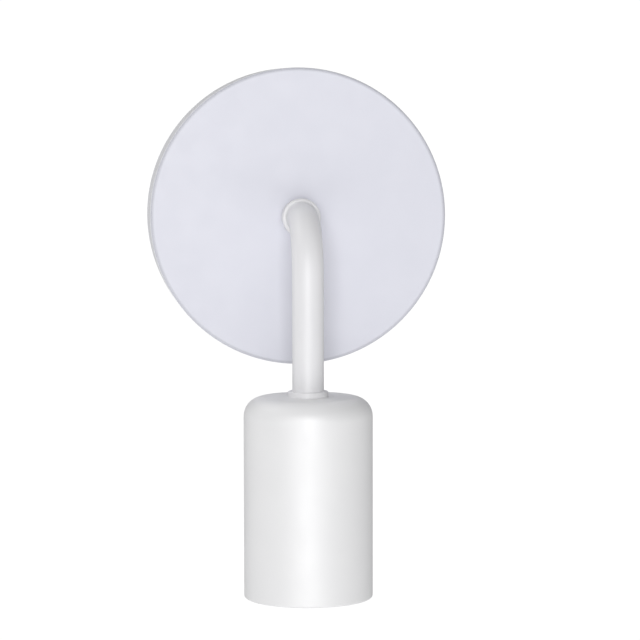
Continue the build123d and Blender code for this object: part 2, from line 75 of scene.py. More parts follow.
class Stand(Enum):
    """The line that a turned piece stands on, as its turn and its foot. Heights run along it."""

    ARM = ((math.pi / 2, 0.0, 0.0), (0.0, 0.0, 0.0))
    CUP = ((0.0, 0.0, 0.0), (0.0, CUP_AXIS_Y, 0.0))


def clear_bench() -> None:
    """Leaves edit mode and deselects everything."""
    if bpy.context.mode != "OBJECT":
        bpy.ops.object.mode_set(mode="OBJECT")
    bpy.ops.object.select_all(action="DESELECT")


def rounded(corners: Sequence[Corner], closed: bool) -> list[Vector]:
    """Rounds an outline's corners.

    Args:
        corners: The outline's corners in order.
        closed: Whether the last corner joins the first.

    Returns:
        The outline's points in metres, its radius along X and its height along Z.
    """
    arc_step = math.radians(11)
    straight = math.radians(89.9)
    points: list[Vector] = []
    last = len(corners) - 1
    for index, corner in enumerate(corners):
        here = Vector((corner.radius, corner.height))
        if corner.round <= 0 or (not closed and index in (0, last)):
            points.append(here)
            continue
        before = (Vector(corners[index - 1][:2]) - here).normalized()
        after = (Vector(corners[(index + 1) % len(corners)][:2]) - here).normalized()
        half = before.angle(after) / 2
        if half > straight:
            continue
        centre = here + (before + after).normalized() * corner.round / math.sin(half)
        first = here + before * corner.round / math.tan(half) - centre
        final = here + after * corner.round / math.tan(half) - centre
        start = math.atan2(first.y, first.x)
        sweep = (math.atan2(final.y, final.x) - start + math.pi) % (2 * math.pi) - math.pi
        steps = max(2, math.ceil(abs(sweep) / arc_step))
        for step in range(steps + 1):
            angle = start + sweep * step / steps
            points.append(centre + Vector((math.cos(angle), math.sin(angle))) * corner.round)
    return [Vector((p.x, 0.0, p.y)) * MM for p in points]


def rows(radius: float, low: float, high: float, count: int) -> list[Corner]:
    """Divides a straight run of an outline evenly, for a thread to be rolled into.

    Args:
        radius: The run's radius in millimetres.
        low: Where it starts.
        high: Where it ends.
        count: How many steps it has.

    Returns:
        The run's corners.
    """
    return [Corner(radius, low + (high - low) * row / count) for row in range(count + 1)]


class Piece:
    """One mesh on the bench, shaped by edit-mode operators and finished by applied modifiers."""

    def __init__(self, name: str, thing: bpy.types.Object) -> None:
        """Takes the primitive that was just added.

        Args:
            name: The piece's name.
            thing: The primitive's object.
        """
        self.thing = thing
        thing.name = name
        thing.data.name = name
        self.settle()

    @classmethod
    def cylinder(cls, name: str, radius: float, start: Point, end: Point,
                 segments: int) -> "Piece":
        """Adds a cylinder between two points.

        Args:
            name: The piece's name.
            radius: Its radius in millimetres.
            start: The middle of one end.
            end: The middle of the other end.
            segments: How many sides it has.

        Returns:
            The piece.
        """
        clear_bench()
        foot, top = Vector(start) * MM, Vector(end) * MM
        turn = (top - foot).to_track_quat("Z", "Y").to_euler()
        bpy.ops.mesh.primitive_cylinder_add(
            vertices=segments, radius=radius * MM, depth=(top - foot).length,
            location=(foot + top) / 2, rotation=turn)
        return cls(name, bpy.context.object)

    @classmethod
    def turned(cls, name: str, corners: Sequence[Corner], segments: int,
               closed: bool = True) -> "Piece":
        """Draws an outline vertex by vertex and spins it round the Z axis.

        Args:
            name: The piece's name.
            corners: The outline, which is closed or ends on the axis, or is one sheet.
            segments: How many steps the spin has.
            closed: Whether the outline's ends are joined.

        Returns:
            The piece, not yet on its stand.
        """
        clear_bench()
        bpy.ops.mesh.primitive_plane_add(size=MM)
        piece = cls(name, bpy.context.object)
        points = rounded(corners, closed)
        with piece.editing("VERT"):
            bpy.ops.mesh.select_all(action="SELECT")
            bpy.ops.mesh.merge(type="CENTER")
            bpy.ops.transform.translate(value=points[0])
            for before, after in zip(points, points[1:]):
                bpy.ops.mesh.extrude_vertices_move(
                    TRANSFORM_OT_translate={"value": after - before})
            if closed:
                outline = bmesh.from_edit_mesh(piece.thing.data)
                outline.verts.ensure_lookup_table()
                outline.verts[0].select_set(True)
                bmesh.update_edit_mesh(piece.thing.data)
                bpy.ops.mesh.edge_face_add()
            bpy.ops.mesh.select_all(action="SELECT")
            bpy.ops.mesh.spin(steps=segments, angle=2 * math.pi,
                              center=(0, 0, 0), axis=(0, 0, 1))
        piece.make_sound()
        return piece

    @contextmanager
    def editing(self, kind: str) -> Iterator[None]:
        """Opens the mesh in edit mode with nothing selected.

        Args:
            kind: What is selected: VERT or EDGE.

        Returns:
            A context. The mesh is in edit mode inside it, and in object mode after it.
        """
        self.focus()
        bpy.ops.object.mode_set(mode="EDIT")
        bpy.ops.mesh.select_mode(type=kind)
        bpy.ops.mesh.select_all(action="DESELECT")
        try:
            yield
        finally:
            bpy.ops.object.mode_set(mode="OBJECT")

    def focus(self) -> None:
        """Makes this the one selected object."""
        clear_bench()
        self.thing.select_set(True)
        bpy.context.view_layer.objects.active = self.thing

    def settle(self) -> "Piece":
        """Takes the object's place, turn and scale into its mesh.

        Returns:
            The piece.
        """
        self.focus()
        bpy.ops.object.transform_apply(location=True, rotation=True, scale=True)
        return self

    def stand_on(self, stand: Stand) -> "Piece":
        """Puts a turned piece on its line.

        Args:
            stand: The line.

        Returns:
            The piece.
        """
        turn, foot = stand.value
        self.thing.rotation_euler = turn
        self.thing.location = Vector(foot) * MM
        return self.settle()

    def make_sound(self) -> "Piece":
        """Merges doubled vertices and points the faces outwards.

        Returns:
            The piece.
        """
        with self.editing("VERT"):
            bpy.ops.mesh.select_all(action="SELECT")
            bpy.ops.mesh.remove_doubles(threshold=0.001 * MM)
            bpy.ops.mesh.normals_make_consistent(inside=False)
        return self

    def modify(self, kind: str, **settings: object) -> "Piece":
        """Adds a modifier and applies it.

        Args:
            kind: The modifier's type.
            settings: Its settings by name.

        Returns:
            The piece.
        """
        self.focus()
        modifier = self.thing.modifiers.new(kind.title(), kind)
        for name, value in settings.items():
            setattr(modifier, name, value)
        bpy.ops.object.modifier_apply(modifier=modifier.name)
        return self

    def cut(self, *cutters: "Piece") -> "Piece":
        """Cuts other pieces out of this one and throws them away.

        Args:
            cutters: The pieces to cut out.

        Returns:
            The piece.
        """
        for cutter in cutters:
            self.modify("BOOLEAN", operation="DIFFERENCE", solver="EXACT", object=cutter.thing)
            bpy.data.objects.remove(cutter.thing)
        return self

    def soften(self, width: float, angle: float) -> "Piece":
        """Rounds every edge sharper than an angle.

        Args:
            width: The bevel's width in millimetres.
            angle: The least angle between faces, in degrees.

        Returns:
            The piece.
        """
        return self.modify("BEVEL", width=width * MM, segments=2, limit_method="ANGLE",
                           angle_limit=math.radians(angle), harden_normals=False)

    def roll_thread(self, low: float, high: float, pitch: float, swing: float, run_out: float,
                    inner: float, sharp: bool = False) -> "Piece":
        """Rolls a right-hand thread into the rows of a turned wall.

        Args:
            low: Where the thread starts, in millimetres up the axis.
            high: Where it ends.
            pitch: Its pitch.
            swing: How far crests and roots are from the wall's middle.
            run_out: The length over which it fades in and out.
            inner: Vertices inside this radius are left alone.
            sharp: Whether its crests are sharp, as on a bolt.

        Returns:
            The piece.
        """
        for vertex in self.thing.data.vertices:
            radius = math.hypot(vertex.co.x, vertex.co.y) / MM
            height = vertex.co.z / MM
            if radius <= inner or not low <= height <= high:
                continue
            round_axis = math.atan2(vertex.co.y, vertex.co.x) / (2 * math.pi)
            turn = height / pitch - round_axis
            wave = 4 * abs(turn % 1 - 0.5) - 1 if sharp else math.cos(2 * math.pi * turn)
            fade = min(1.0, (height - low) / run_out, (high - height) / run_out)
            grown = (radius + swing * wave * fade) / radius
            vertex.co.x *= grown
            vertex.co.y *= grown
        return self

    def smooth(self, angle: float = 35.0) -> "Piece":
        """Shades the piece smooth across angles under a limit, flat faces kept flat.

        Args:
            angle: The limit in degrees.

        Returns:
            The piece.
        """
        self.focus()
        bpy.ops.object.shade_smooth_by_angle(angle=math.radians(angle))
        return self.modify("WEIGHTED_NORMAL", mode="FACE_AREA", weight=50, keep_sharp=True)


# ---------------------------------------------------------------- finishes


class Slot(Enum):
    """The finishes, by slot name."""

    CANOPY_PAINT = "canopy_paint"
    ARM_PAINT = "arm_paint"
    CUP_PAINT = "cup_paint"
    ZINC_STEEL = "zinc_steel"
    SCREW_STEEL = "screw_steel"
    SPRING_STEEL = "spring_steel"
    NICKEL = "nickel"
    BRASS = "brass"
    TINNED_COPPER = "tinned_copper"
    PORCELAIN = "porcelain"
    BLOCK_NYLON = "block_nylon"
    BUSH_NYLON = "bush_nylon"
    BROWN_INSULATION = "brown_insulation"
    BLUE_INSULATION = "blue_insulation"
    EARTH_INSULATION = "earth_insulation"


class Recipe:
    """A material's nodes, laid out one by one. Sizes are real, and patterns stay on the object."""

    def __init__(self, name: str) -> None:
        """Starts a material with its shader and its coordinates.

        Args:
            name: The material's name.
        """
        self.material = bpy.data.materials.new(name)
        self.material.use_nodes = True
        self.tree = self.material.node_tree
        self.shader = self.tree.nodes["Principled BSDF"]
        self.place = self.node("ShaderNodeTexCoord").outputs["Object"]

    def node(self, kind: str, **settings: object) -> bpy.types.Node:
        """Adds a node and sets its properties.

        Args:
            kind: The node's type.
            settings: Its properties by name.

        Returns:
            The node.
        """
        made = self.tree.nodes.new(kind)
        for name, value in settings.items():
            setattr(made, name, value)
        return made

    def link(self, output: bpy.types.NodeSocket, entry: bpy.types.NodeSocket) -> None:
        """Joins an output to an input."""
        self.tree.links.new(output, entry)

    def fix(self, **values: object) -> None:
        """Sets even values on the shader's own sockets, named with underscores for spaces."""
        for name, value in values.items():
            self.shader.inputs[name.replace("_", " ")].default_value = value

    def stretched(self, along: Point) -> bpy.types.NodeSocket:
        """The coordinates, scaled so that a pattern is drawn out along one or two axes.

        Args:
            along: The scale along each axis.

        Returns:
            The scaled coordinates.
        """
        mapping = self.node("ShaderNodeMapping")
        mapping.inputs["Scale"].default_value = along
        self.link(self.place, mapping.inputs["Vector"])
        return mapping.outputs["Vector"]

    def noise(self, size: float, detail: float,
              along: Point | None = None) -> bpy.types.NodeSocket:
        """Soft noise.

        Args:
            size: The size of its features in millimetres.
            detail: Its finer octaves.
            along: How much it is scaled along each axis.

        Returns:
            Its value, about 0.5.
        """
        made = self.node("ShaderNodeTexNoise")
        made.inputs["Scale"].default_value = 1 / (size * MM)
        made.inputs["Detail"].default_value = detail
        self.link(self.stretched(along) if along else self.place, made.inputs["Vector"])
        return made.outputs["Fac"]

    def cells(self, size: float) -> bpy.types.NodeSocket:
        """The distance to the nearest of many scattered points, for pores and specks.

        Args:
            size: How far apart the points are, in millimetres.

        Returns:
            The distance, as a share of that.
        """
        made = self.node("ShaderNodeTexVoronoi")
        made.inputs["Scale"].default_value = 1 / (size * MM)
        self.link(self.place, made.inputs["Vector"])
        return made.outputs["Distance"]

    def spread(self, value: bpy.types.NodeSocket, source: tuple[float, float],
               target: tuple[float, float]) -> bpy.types.NodeSocket:
        """Maps a value from one range to another, held at the ends.

        Args:
            value: The value.
            source: The range that it is taken from.
            target: The range that it is given.

        Returns:
            The mapped value.
        """
        made = self.node("ShaderNodeMapRange", interpolation_type="SMOOTHSTEP")
        for name, number in zip(("From Min", "From Max", "To Min", "To Max"), (*source, *target)):
            made.inputs[name].default_value = number
        self.link(value, made.inputs["Value"])
        return made.outputs["Result"]

    def mix(self, share: bpy.types.NodeSocket, first: Colour | bpy.types.NodeSocket,
            second: Colour) -> bpy.types.NodeSocket:
        """Mixes two colours.

        Args:
            share: The second colour's share.
            first: A colour, or the output of an earlier mix.
            second: A colour.

        Returns:
            The mixed colour.
        """
        made = self.node("ShaderNodeMix", data_type="RGBA")
        self.link(share, made.inputs["Factor"])
        entries = [entry for entry in made.inputs if entry.type == "RGBA"]
        if isinstance(first, bpy.types.NodeSocket):
            self.link(first, entries[0])
        else:
            entries[0].default_value = (*first, 1.0)
        entries[1].default_value = (*second, 1.0)
        return next(output for output in made.outputs if output.type == "RGBA")

    def relief(self, height: bpy.types.NodeSocket, depth: float,
               under: bpy.types.NodeSocket | None = None) -> bpy.types.NodeSocket:
        """Raises a pattern.

        Args:
            height: The pattern.
            depth: How deep it is, in millimetres.
            under: A relief that it lies on.

        Returns:
            The normal.
        """
        made = self.node("ShaderNodeBump")
        made.inputs["Strength"].default_value = 1.0
        made.inputs["Distance"].default_value = depth * MM
        self.link(height, made.inputs["Height"])
        if under:
            self.link(under, made.inputs["Normal"])
        return made.outputs["Normal"]

    def feed(self, **outputs: bpy.types.NodeSocket) -> None:
        """Joins outputs to the shader's sockets, named with underscores for spaces."""
        for name, output in outputs.items():
            self.link(output, self.shader.inputs[name.replace("_", " ")])


@dataclass(frozen=True)
class SprayedPaint:
    """A sprayed and baked coat on steel, with a slight orange peel.

    A rim is the radius in millimetres of a dish turned on the Y axis. Its rounded edge then gets
    a darker tone, a painted line of shade, and its side a lighter tone, painted light.
    """

    name: str
    colour: Colour
    thin: Colour
    roughness: tuple[float, float]
    peel: float
    peel_depth: float
    gloss: float
    rim: float = 0.0
    edge_painted_shade: Colour = (0.0, 0.0, 0.0)
    side_painted_light: Colour = (0.0, 0.0, 0.0)

    def make(self) -> bpy.types.Material:
        """Lays out the material.

        Returns:
            The material.
        """
        recipe = Recipe(self.name)
        cloud = recipe.spread(recipe.noise(19.0, 3.0), (0.35, 0.65), (0.0, 1.0))
        grain = recipe.spread(recipe.noise(0.28, 1.0), (0.3, 0.8), (0.0, 0.35))
        tone = recipe.mix(cloud, self.colour, self.thin)
        if self.rim:
            edge, side = self.painted_shade_and_light_zones(recipe)
            # Painted shade: a darker line round the dish's front edge. Painted light: a lighter
            # band on its side.
            tone = recipe.mix(side, recipe.mix(edge, tone, self.edge_painted_shade), self.side_painted_light)
        recipe.feed(Base_Color=recipe.mix(grain, tone, self.thin))
        recipe.feed(Roughness=recipe.spread(recipe.noise(7.0, 4.0), (0.3, 0.7), self.roughness))
        peel = recipe.relief(recipe.noise(self.peel, 1.5), self.peel_depth)
        pinholes = recipe.noise(self.peel / 5, 2.0)
        recipe.feed(Normal=recipe.relief(pinholes, self.peel_depth / 12, peel))
        recipe.fix(IOR=1.5, Specular_IOR_Level=self.gloss)
        return recipe.material

    def painted_shade_and_light_zones(self, recipe: Recipe) -> tuple[bpy.types.NodeSocket, bpy.types.NodeSocket]:
        """Finds a dish's rounded edge, which gets a painted line of shade, and its side, which
        gets painted light.

        Args:
            recipe: The material's nodes.

        Returns:
            The edge's share and the side's share.
        """
        distance = recipe.node("ShaderNodeVectorMath", operation="LENGTH")
        recipe.link(recipe.stretched((1.0, 0.0, 1.0)), distance.inputs[0])
        radius = distance.outputs["Value"]
        edge_starts, edge_full, side_starts, side_full = (
            (self.rim - inset) * MM for inset in (1.7, 0.8, 0.3, 0.08))
        edge = recipe.spread(radius, (edge_starts, edge_full), (0.0, 1.0))
        side = recipe.spread(radius, (side_starts, side_full), (0.0, 1.0))
        return edge, side


@dataclass(frozen=True)
class Metal:
    """A bare or plated metal with a drawn grain, dull patches and fine scratches."""

    name: str
    colour: Colour
    dull: Colour
    roughness: tuple[float, float]
    grain: Point
    grain_depth: float = 0.004

    def make(self) -> bpy.types.Material:
        """Lays out the material.

        Returns:
            The material.
        """
        recipe = Recipe(self.name)
        patches = recipe.spread(recipe.noise(3.2, 4.0), (0.38, 0.68), (0.0, 1.0))
        bloom = recipe.spread(recipe.noise(0.7, 3.0), (0.45, 0.75), (0.0, 0.5))
        tone = recipe.mix(patches, self.colour, self.dull)
        recipe.feed(Base_Color=recipe.mix(bloom, tone, self.dull))
        streaks = recipe.noise(0.35, 3.0, self.grain)
        recipe.feed(Roughness=recipe.spread(streaks, (0.3, 0.7), self.roughness))
        drawn = recipe.relief(streaks, self.grain_depth)
        marks = recipe.noise(1.1, 2.0, (6.0, 0.6, 1.4))
        scratches = recipe.spread(marks, (0.66, 0.72), (0.0, 1.0))
        recipe.feed(Normal=recipe.relief(scratches, self.grain_depth / 3, drawn))
        recipe.fix(Metallic=1.0)
        return recipe.material


@dataclass(frozen=True)
class Glaze:
    """Glazed porcelain: a soft body under a clear glaze, with a few iron specks."""

    name: str
    colour: Colour
    deep: Colour
    speck: Colour

    def make(self) -> bpy.types.Material:
        """Lays out the material.

        Returns:
            The material.
        """
        recipe = Recipe(self.name)
        cloud = recipe.spread(recipe.noise(9.0, 3.0), (0.35, 0.7), (0.0, 1.0))
        specks = recipe.spread(recipe.cells(2.6), (0.035, 0.05), (0.55, 0.0))
        tone = recipe.mix(cloud, self.colour, self.deep)
        recipe.feed(Base_Color=recipe.mix(specks, tone, self.speck))
        recipe.feed(Roughness=recipe.spread(recipe.noise(4.0, 3.0), (0.3, 0.7), (0.22, 0.36)))
        waves = recipe.relief(recipe.noise(5.0, 1.0), 0.06)
        recipe.feed(Normal=recipe.relief(recipe.noise(0.5, 2.0), 0.002, waves))
        recipe.fix(IOR=1.52, Coat_Weight=0.7, Coat_Roughness=0.07, Subsurface_Weight=0.12,
                   Subsurface_Radius=(0.9 * MM, 0.8 * MM, 0.6 * MM), Subsurface_Scale=1.0)
        return recipe.material


@dataclass(frozen=True)
class Moulding:
    """Moulded plastic or extruded insulation, with its fine skin. Light comes some way through."""

    name: str
    colour: Colour
    shade: Colour
    roughness: tuple[float, float]
    through: float

    def make(self) -> bpy.types.Material:
        """Lays out the material.

        Returns:
            The material.
        """
        recipe = Recipe(self.name)
        cloud = recipe.spread(recipe.noise(4.5, 3.0), (0.3, 0.7), (0.0, 1.0))
        recipe.feed(Base_Color=recipe.mix(cloud, self.colour, self.shade))
        recipe.feed(Roughness=recipe.spread(recipe.noise(1.4, 3.0), (0.3, 0.7), self.roughness))
        recipe.feed(Normal=recipe.relief(recipe.noise(0.25, 2.0), 0.006))
        recipe.fix(IOR=1.5, Subsurface_Weight=self.through,
                   Subsurface_Radius=(1.2 * MM, 1.1 * MM, 1.0 * MM), Subsurface_Scale=1.0)
        return recipe.material


Finish = SprayedPaint | Metal | Glaze | Moulding

FINISHES: dict[Slot, Finish] = {
    # The canopy, arm and cup are one white coat, given a tone per part as lit and shaded copies of
    # it: the canopy's darker, bluer white is painted shade.
    Slot.CANOPY_PAINT: SprayedPaint(
        "canopy_white_paint_painted_shade", (0.717, 0.72, 0.79), (0.705, 0.709, 0.78), roughness=(0.42, 0.52),
        peel=0.8, peel_depth=0.004, gloss=0.5,
        # The canopy's front edge gets a painted line of shade, and its side gets painted light.
        rim=60.0, edge_painted_shade=(0.56, 0.565, 0.62), side_painted_light=(0.90, 0.90, 0.92)),
    Slot.ARM_PAINT: SprayedPaint(
        "arm_white_paint", (0.80, 0.796, 0.81), (0.787, 0.784, 0.80), roughness=(0.44, 0.52),
        peel=0.6, peel_depth=0.003, gloss=0.8),
    Slot.CUP_PAINT: SprayedPaint(
        "cup_white_paint", (0.82, 0.818, 0.822), (0.807, 0.805, 0.811), roughness=(0.50, 0.58),
        peel=0.7, peel_depth=0.003, gloss=2.2),
    Slot.ZINC_STEEL: Metal("zinc_plated_steel", (0.66, 0.68, 0.70), (0.57, 0.585, 0.59),
                           (0.26, 0.42), (9.0, 9.0, 0.5), 0.003),
    Slot.SCREW_STEEL: Metal("plated_screw_steel", (0.66, 0.66, 0.66), (0.48, 0.46, 0.40),
                            (0.20, 0.36), (3.0, 3.0, 3.0), 0.003),
    Slot.SPRING_STEEL: Metal("spring_wire", (0.55, 0.56, 0.58), (0.36, 0.36, 0.38),
                             (0.22, 0.36), (3.0, 3.0, 3.0), 0.002),
    Slot.NICKEL: Metal("nickel_plated_brass", (0.80, 0.78, 0.74), (0.70, 0.67, 0.62),
                       (0.12, 0.26), (1.0, 1.0, 14.0), 0.002),
    Slot.BRASS: Metal("turned_brass", (0.83, 0.62, 0.29), (0.56, 0.38, 0.16),
                      (0.20, 0.38), (1.0, 1.0, 12.0)),
    Slot.TINNED_COPPER: Metal("tinned_copper", (0.68, 0.67, 0.64), (0.52, 0.46, 0.40),
                              (0.28, 0.44), (3.0, 3.0, 3.0)),
    Slot.PORCELAIN: Glaze("glazed_porcelain", (0.83, 0.82, 0.78), (0.78, 0.765, 0.715),
                          (0.34, 0.27, 0.20)),
    Slot.BLOCK_NYLON: Moulding("block_polyamide", (0.80, 0.80, 0.77), (0.74, 0.735, 0.69),
                               (0.40, 0.54), 0.12),
    Slot.BUSH_NYLON: Moulding("bush_polyamide", (0.045, 0.045, 0.048), (0.065, 0.065, 0.07),
                              (0.38, 0.52), 0.0),
    Slot.BROWN_INSULATION: Moulding("brown_silicone", (0.135, 0.052, 0.024),
                                    (0.165, 0.068, 0.034), (0.42, 0.56), 0.03),
    Slot.BLUE_INSULATION: Moulding("blue_silicone", (0.018, 0.105, 0.42), (0.03, 0.14, 0.47),
                                   (0.42, 0.56), 0.03),
    Slot.EARTH_INSULATION: Moulding("green_silicone", (0.03, 0.27, 0.055),
                                    (0.045, 0.32, 0.075), (0.42, 0.56), 0.03),
}
EARTH_STRIPE = Moulding("yellow_silicone", (0.80, 0.60, 0.03), (0.74, 0.54, 0.03),
                        (0.42, 0.56), 0.03)


class PaintShop:
    """Makes each finish once and gives it to the pieces."""

    def __init__(self) -> None:
        """Starts with nothing made."""
        self.made: dict[str, bpy.types.Material] = {}

    def material(self, finish: Finish) -> bpy.types.Material:
        """The finish's material, made at its first use.

        Args:
            finish: The finish.

        Returns:
            Its material.
        """
        if finish.name not in self.made:
            self.made[finish.name] = finish.make()
        return self.made[finish.name]

    def coat(self, thing: bpy.types.Object, finish: Finish) -> None:
        """Gives an object one finish all over.

        Args:
            thing: The object.
            finish: The finish.
        """
        material = self.material(finish)
        if not thing.material_slots:
            thing.data.materials.append(material)
        for slot in thing.material_slots:
            slot.material = material

    def coat_nodes(self, slot: Slot, *names: str) -> None:
        """Gives a finish to nodes that keep their own mesh.

        Args:
            slot: The finish's slot.
            names: The nodes.
        """
        for name in names:
            self.coat(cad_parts[name], FINISHES[slot])
            log.info("%s keeps its shape and is %s", name, slot.value)

    def fit(self, piece: Piece, slot: Slot, *nodes: str,
            body: str = LIGHT_BODY) -> bpy.types.Object:
        """Coats a new piece and puts it on the frame in place of nodes.

        Args:
            piece: The piece.
            slot: Its finish's slot.
            nodes: The nodes that it stands for.
            body: The body that it rides on.

        Returns:
            The piece's object.
        """
        self.coat(piece.thing, FINISHES[slot])
        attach(piece.thing, body)
        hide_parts(*nodes)
        log.info("%s stands for %s, %d faces", piece.thing.name, ", ".join(nodes),
                 len(piece.thing.data.polygons))
        return piece.thing


# ---------------------------------------------------------------- sub-assemblies, in millimetres


@dataclass
class Canopy:
    """The drawn dish against the wall, its set screws and the strap that holds it."""

    radius: float = 60.0
    depth: float = 26.0
    sheet: float = 1.0
    edge: float = 1.1
    inner_edge: float = 0.4
    rear_edge: float = 0.35
    arm_hole: float = 5.2
    screw_hole: float = 2.2
    screw_y: float = -8.0
    drill_past: float = 3.0

    def dish(self) -> Piece:
        """Turns the dish and drills it for the two set screws.

        Returns:
            The dish.
        """
        inner = self.radius - self.sheet
        ceiling = self.depth - self.sheet
        shell = Piece.turned("canopy_dish", [
            Corner(self.radius, 0.0, self.rear_edge),
            Corner(self.radius, self.depth, self.edge),
            Corner(self.arm_hole, self.depth),
            Corner(self.arm_hole, ceiling),
            Corner(inner, ceiling, self.inner_edge),
            Corner(inner, 0.0, self.rear_edge),
        ], segments=192).stand_on(Stand.ARM)
        end = self.radius + self.drill_past
        drill = Piece.cylinder("drill", self.screw_hole, (0, self.screw_y, -end),
                               (0, self.screw_y, end), segments=40)
        return shell.cut(drill).smooth()

    def build(self, shop: PaintShop) -> None:
        """Builds the dish and dresses what it covers.

        Args:
            shop: The paint shop that coats the pieces and places them.
        """
        shop.fit(self.dish(), Slot.CANOPY_PAINT, "canopy_shell")
        shop.coat_nodes(Slot.SCREW_STEEL, "canopy_set_screws", "block_fixing_screw",
                        "terminal_screws")
        shop.coat_nodes(Slot.ZINC_STEEL, "mounting_strap", "strap_earth_washer")
        shop.coat_nodes(Slot.TINNED_COPPER, "strap_earth_tag")
        shop.coat_nodes(Slot.BRASS, "terminal_inserts", "strap_earth_screw")
        shop.coat_nodes(Slot.BLOCK_NYLON, "terminal_block")


@dataclass
class Nipple:
    """A hollow stud with a fine rolled thread."""

    name: str
    node: str
    low: float
    high: float
    stand: Stand
    radius: float = 4.95
    bore: float = 3.75
    chamfer: float = 0.4
    pitch: float = 1.0
    thread_depth: float = 0.5
    rows_per_turn: int = 8
    run_out: float = 0.5

    def build(self, shop: PaintShop) -> None:
        """Turns the stud, rolls its thread and puts it in place.

        Args:
            shop: The paint shop that coats the pieces and places them.
        """
        wall = self.radius - self.thread_depth / 2
        foot, top = self.low + self.chamfer, self.high - self.chamfer
        count = round((top - foot) / self.pitch * self.rows_per_turn)
        stud = Piece.turned(self.name, [
            Corner(self.bore, self.low),
            Corner(wall - self.chamfer, self.low),
            *rows(wall, foot, top, count),
            Corner(wall - self.chamfer, self.high),
            Corner(self.bore, self.high),
        ], segments=64)
        inside_wall = self.bore + 0.5
        stud.roll_thread(foot, top, self.pitch, self.thread_depth / 2, self.run_out, inside_wall,
                         sharp=True)
        shop.fit(stud.stand_on(self.stand).smooth(60.0), Slot.ZINC_STEEL, self.node)


@dataclass
class Arm:
    """The bent tube, a collar at each end and what fixes it to the canopy."""

    canopy_face: float = 26.0
    reach: float = 36.0
    drop: float = 69.2
    tube_radius: float = 6.2
    tube_wall: float = 1.2
    bend_radius: float = 21.0
    upper_collar_radius: float = 7.7
    upper_collar_foot: float = 7.0
    upper_collar_length: float = 13.0
    lower_collar_radius: float = 7.9
    lower_collar_height: float = 2.2
    collar_bore: float = 6.22
    upper_nipple_ends: tuple[float, float] = (18.2, 40.0)
    lower_nipple_ends: tuple[float, float] = (-77.4, -55.2)

    def tube(self) -> Piece:
        """Extrudes a ring out of the canopy, spins it round the bend and extrudes it down.

        Returns:
            The tube.
        """
        clear_bench()
        bpy.ops.mesh.primitive_circle_add(
            vertices=72, radius=self.tube_radius * MM, fill_type="NOTHING",
            location=(0, -self.canopy_face * MM, 0), rotation=(math.pi / 2, 0, 0))
        tube = Piece("arm_bent_tube", bpy.context.object)
        straight = (self.reach - self.bend_radius) * MM
        below = (self.drop - self.bend_radius) * MM
        bend_y = -(self.canopy_face + self.reach - self.bend_radius)
        centre = Vector((0, bend_y, -self.bend_radius)) * MM
        with tube.editing("EDGE"):
            bpy.ops.mesh.select_all(action="SELECT")
            bpy.ops.mesh.extrude_region_move(
                TRANSFORM_OT_translate={"value": (0, -straight, 0)})
            bpy.ops.mesh.spin(steps=40, angle=math.pi / 2, center=centre, axis=(-1, 0, 0))
            bpy.ops.mesh.extrude_region_move(TRANSFORM_OT_translate={"value": (0, 0, -below)})
        tube.make_sound()
        tube.modify("SOLIDIFY", thickness=self.tube_wall * MM, offset=-1.0, use_rim=True)
        return tube.smooth()

    def collar(self, name: str, radii: tuple[float, float], foot: float, length: float,
               edge: float, fillet: float, stand: Stand) -> Piece:
        """Turns a collar.

        Args:
            name: Its name.
            radii: Its outer radius at its foot and at its front.
            foot: Where it starts on its line.
            length: How long it is.
            edge: The radius of its outer front edge.
            fillet: The radius of the paint-filled corner between its front and the tube.
            stand: Its line.

        Returns:
            The collar.
        """
        front = foot + length
        film = 0.05
        film_front = front + fillet + film
        return Piece.turned(name, [
            Corner(radii[0], foot, 0.06),
            Corner(radii[1], front - 2.5 * edge, 2 * edge),
            Corner(radii[1], front, edge),
            Corner(self.collar_bore + film, front, fillet),
            Corner(self.collar_bore + film, film_front),
            Corner(self.collar_bore, film_front),
            Corner(self.collar_bore, foot),
        ], segments=96).stand_on(stand).smooth()

    def build(self, shop: PaintShop) -> None:
        """Builds the tube and the collars and dresses the hardware.

        Args:
            shop: The paint shop that coats the pieces and places them.
        """
        shop.fit(self.tube(), Slot.ARM_PAINT, "arm_tube")
        upper = self.collar(
            "arm_upper_collar", (self.upper_collar_foot, self.upper_collar_radius),
            self.canopy_face, self.upper_collar_length, edge=0.8, fillet=0.8, stand=Stand.ARM)
        shop.fit(upper, Slot.ARM_PAINT, "upper_collar")
        lower = self.collar(
            "arm_lower_collar", (self.lower_collar_radius, self.lower_collar_radius),
            -self.drop, self.lower_collar_height, edge=0.4, fillet=0.1, stand=Stand.CUP)
        shop.fit(lower, Slot.ARM_PAINT, "lower_collar")
        Nipple("arm_upper_nipple", "upper_nipple", *self.upper_nipple_ends, Stand.ARM).build(shop)
        Nipple("arm_lower_nipple", "lower_nipple", *self.lower_nipple_ends, Stand.CUP).build(shop)
        shop.coat_nodes(Slot.ZINC_STEEL, "upper_flat_washer", "upper_toothed_washer",
                        "upper_lock_nut", "lower_toothed_washer", "lower_lock_nut")
        shop.coat_nodes(Slot.BUSH_NYLON, "upper_bush", "lower_bush")


@dataclass
class Cup:
    """The drawn cup over the lampholder, open downwards."""

    radius: float = 25.4
    top: float = -69.2
    height: float = 79.5
    wall: float = 1.2
    shoulder: float = 7.6
    rim: float = 0.9
    inner_rim: float = 0.25
    arm_hole: float = 5.2

    def build(self, shop: PaintShop) -> None:
        """Turns the cup.

        Args:
            shop: The paint shop that coats the pieces and places them.
        """
        bottom = self.top - self.height
        ceiling = self.top - self.wall
        inner = self.radius - self.wall
        shell = Piece.turned("cup_drawn_shell", [
            Corner(self.arm_hole, self.top),
            Corner(self.radius, self.top, self.shoulder),
            Corner(self.radius, bottom, self.rim),
            Corner(inner, bottom, self.inner_rim),
            Corner(inner, ceiling, self.shoulder - self.wall),
            Corner(self.arm_hole, ceiling),
        ], segments=144)
        shop.fit(shell.stand_on(Stand.CUP).smooth(), Slot.CUP_PAINT, "cup_shell")


